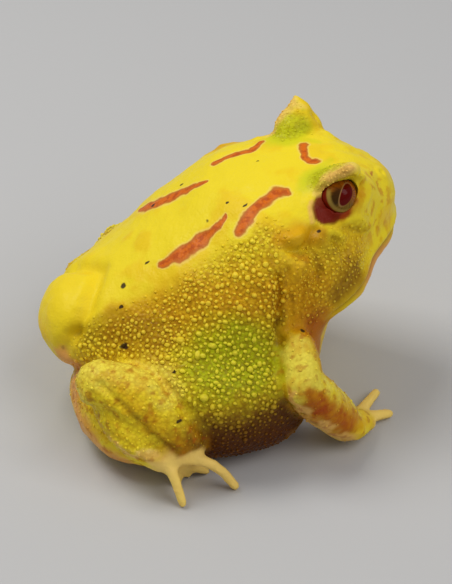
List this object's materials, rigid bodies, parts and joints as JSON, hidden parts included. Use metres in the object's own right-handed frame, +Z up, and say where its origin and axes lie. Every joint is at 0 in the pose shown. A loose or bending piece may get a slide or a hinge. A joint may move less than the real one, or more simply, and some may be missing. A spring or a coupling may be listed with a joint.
{
  "type": "argentine horned frog",
  "caption": "Life-size still model of an albino Argentine horned frog, squatting on its belly with its head raised: yellow skin with orange back marks.",
  "frame": {"origin": "on the floor, under the middle of the box round the whole frog", "axes": "+X the way the frog's body faces, +Y its left, +Z up; the z=0 plane is the floor it sits on"},
  "size_m": [0.0926, 0.1004, 0.0703],
  "materials": {
    "skin": "moist warty skin, lemon yellow with olive flanks and orange marks",
    "toe_skin": "smooth moist skin, cream to pale pink",
    "horn_skin": "moist granular skin, lime to peach",
    "eye": "wet glossy eye, gold-grey iris round a dark red pupil"
  },
  "bodies": {
    "root": {"torso": "skin", "head": "skin", "jaw": "skin", "horn_right": "horn_skin", "eye_right": "eye", "upper_arm_right": "skin", "forearm_right": "skin", "hand_right": "toe_skin", "thigh_right": "skin", "shank_right": "skin", "foot_right": "toe_skin", "horn_left": "horn_skin", "eye_left": "eye", "upper_arm_left": "skin", "forearm_left": "skin", "hand_left": "toe_skin", "thigh_left": "skin", "shank_left": "skin", "foot_left": "toe_skin"}
  },
  "joints": []
}
